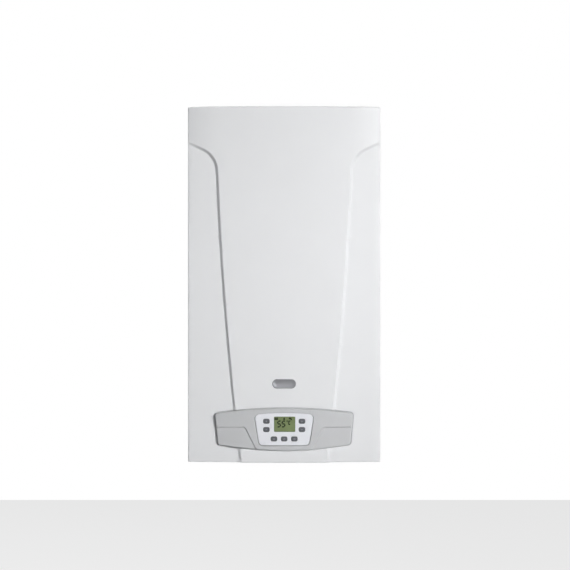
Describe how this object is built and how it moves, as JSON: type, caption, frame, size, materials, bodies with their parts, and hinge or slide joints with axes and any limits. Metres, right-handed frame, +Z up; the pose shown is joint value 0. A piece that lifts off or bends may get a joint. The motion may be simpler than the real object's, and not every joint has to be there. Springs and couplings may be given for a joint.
{
  "type": "gas boiler",
  "caption": "Wall-hung gas combination boiler with a bowed white front cover, a drop-down control panel, a sealed fan-assisted burner chamber and pipe tails below.",
  "frame": {"origin": "midway between the two hook holes, on the back face that lies against the wall", "axes": "+Z up, the front faces -Y, +X to the right as seen from the front"},
  "size_m": [0.4, 0.2995, 0.744],
  "materials": {
    "casing_paint": "semi-gloss powder coat",
    "badge_metal": "satin",
    "zinc_sheet": "galvanised",
    "zinc_screw": "zinc plated",
    "black_plastic": "moulded",
    "grey_rubber": "matt",
    "clear_glass": "clear",
    "hearth_steel": "heat tinted",
    "ceramic_board": "fibrous",
    "copper": "copper",
    "burner_steel": "stainless",
    "gas_alloy": "die cast",
    "electrode_ceramic": "glazed",
    "hood_alloy": "pressed sheet",
    "motor_black": "satin black",
    "collar_alloy": "die cast",
    "switch_plastic": "moulded",
    "silicone_tube": "silicone",
    "vessel_paint": "gloss red",
    "brass": "machined casting",
    "steel_plates": "stainless",
    "red_plastic": "moulded",
    "blue_plastic": "moulded",
    "pump_iron": "painted casting",
    "gas_pipe_metal": "yellow zinc",
    "grey_plastic": "moulded",
    "board_green": "circuit board",
    "facia_plastic": "satin moulding",
    "bezel_plastic": "satin moulding",
    "lcd_glass": "liquid crystal display",
    "button_plastic": "soft touch"
  },
  "bodies": {
    "case": {"rear_frame": "zinc_sheet", "left_side_panel": "casing_paint", "right_side_panel": "casing_paint", "cover_screws": "zinc_screw", "casing_screws": "zinc_screw", "connection_plate": "zinc_sheet", "cable_gland": "black_plastic", "chamber_box": "zinc_sheet", "chamber_seal": "grey_rubber", "chamber_cover": "zinc_sheet", "sight_glass": "clear_glass", "combustion_casing": "hearth_steel", "insulation_panels": "ceramic_board", "exchanger_fins": "copper", "exchanger_tubes": "copper", "burner_blades": "burner_steel", "burner_manifold": "gas_alloy", "electrodes": "electrode_ceramic", "flue_hood": "hood_alloy", "fan_housing": "zinc_sheet", "fan_motor": "motor_black", "flue_collar": "collar_alloy", "flue_gasket": "grey_rubber", "air_pressure_switch": "switch_plastic", "pressure_tube": "silicone_tube", "expansion_vessel": "vessel_paint", "expansion_pipe": "copper", "flow_group": "brass", "return_group": "brass", "plate_exchanger": "steel_plates", "diverter_motor": "black_plastic", "pump_body": "pump_iron", "pump_motor": "motor_black", "gas_valve": "gas_alloy", "gas_supply_pipe": "gas_pipe_metal", "gas_burner_pipe": "gas_pipe_metal", "flow_pipe": "copper", "return_pipe": "copper"},
    "cover": {"front_cover": "casing_paint", "cover_badge": "badge_metal"},
    "control_panel": {"control_box": "grey_plastic", "control_box_lid": "grey_plastic", "circuit_board": "board_green", "control_facia": "facia_plastic", "display_bezel": "bezel_plastic", "display_board": "board_green", "lcd_screen": "lcd_glass"},
    "fan_wheel": {"fan_impeller": "hood_alloy"},
    "pump_wheel": {"pump_rotor": "steel_plates"},
    "diverter_stem": {"diverter_spindle": "steel_plates"},
    "safety_knob": {"safety_valve_knob": "red_plastic"},
    "filling_knob": {"filling_tap_knob": "blue_plastic"},
    "vent_cap": {"air_vent_cap": "black_plastic"},
    "heating_up_key": {"heating_up_button": "button_plastic"},
    "heating_down_key": {"heating_down_button": "button_plastic"},
    "water_up_key": {"water_up_button": "button_plastic"},
    "water_down_key": {"water_down_button": "button_plastic"},
    "mode_key": {"mode_button": "button_plastic"},
    "reset_key": {"reset_button": "button_plastic"},
    "power_key": {"power_button": "button_plastic"}
  },
  "joints": [
    {"name": "cover_slide", "type": "slide", "parent": "case", "child": "cover", "axis": [0, -1, 0], "range_m": [0, 0.5]},
    {"name": "panel_hinge", "type": "hinge", "parent": "case", "child": "control_panel", "pos_m": [0, -0.244, -0.672], "axis": [1, 0, 0], "range_deg": [0, 72]},
    {"name": "fan_spin", "type": "hinge", "parent": "case", "child": "fan_wheel", "pos_m": [-0.028, -0.172, -0.041], "axis": [0, -1, 0], "continuous": true},
    {"name": "pump_spin", "type": "hinge", "parent": "case", "child": "pump_wheel", "pos_m": [0.13, -0.16, -0.505], "axis": [0, -1, 0], "continuous": true},
    {"name": "diverter_slide", "type": "slide", "parent": "case", "child": "diverter_stem", "axis": [0, 0, 1], "range_m": [0, 0.008]},
    {"name": "safety_valve_turn", "type": "hinge", "parent": "case", "child": "safety_knob", "pos_m": [-0.166, -0.115, -0.673], "axis": [0, 0, -1], "range_deg": [0, 90]},
    {"name": "filling_tap_turn", "type": "hinge", "parent": "case", "child": "filling_knob", "pos_m": [0.0975, -0.115, -0.673], "axis": [0, 0, -1], "range_deg": [0, 90]},
    {"name": "vent_cap_turn", "type": "hinge", "parent": "case", "child": "vent_cap", "pos_m": [0.13, -0.115, -0.443], "axis": [0, 0, 1], "range_deg": [0, 180]},
    {"name": "heating_up_press", "type": "slide", "parent": "control_panel", "child": "heating_up_key", "axis": [0, 1, 0], "range_m": [0, 0.0012], "stiffness_N_per_m": 400},
    {"name": "heating_down_press", "type": "slide", "parent": "control_panel", "child": "heating_down_key", "axis": [0, 1, 0], "range_m": [0, 0.0012], "stiffness_N_per_m": 400},
    {"name": "water_up_press", "type": "slide", "parent": "control_panel", "child": "water_up_key", "axis": [0, 1, 0], "range_m": [0, 0.0012], "stiffness_N_per_m": 400},
    {"name": "water_down_press", "type": "slide", "parent": "control_panel", "child": "water_down_key", "axis": [0, 1, 0], "range_m": [0, 0.0012], "stiffness_N_per_m": 400},
    {"name": "mode_press", "type": "slide", "parent": "control_panel", "child": "mode_key", "axis": [0, 1, 0], "range_m": [0, 0.0012], "stiffness_N_per_m": 400},
    {"name": "reset_press", "type": "slide", "parent": "control_panel", "child": "reset_key", "axis": [0, 1, 0], "range_m": [0, 0.0012], "stiffness_N_per_m": 400},
    {"name": "power_press", "type": "slide", "parent": "control_panel", "child": "power_key", "axis": [0, 1, 0], "range_m": [0, 0.0012], "stiffness_N_per_m": 400}
  ],
  "couplings": [
    {"joint": "panel_hinge", "follows": "cover_slide", "rad_per_m": 2.5}
  ]
}
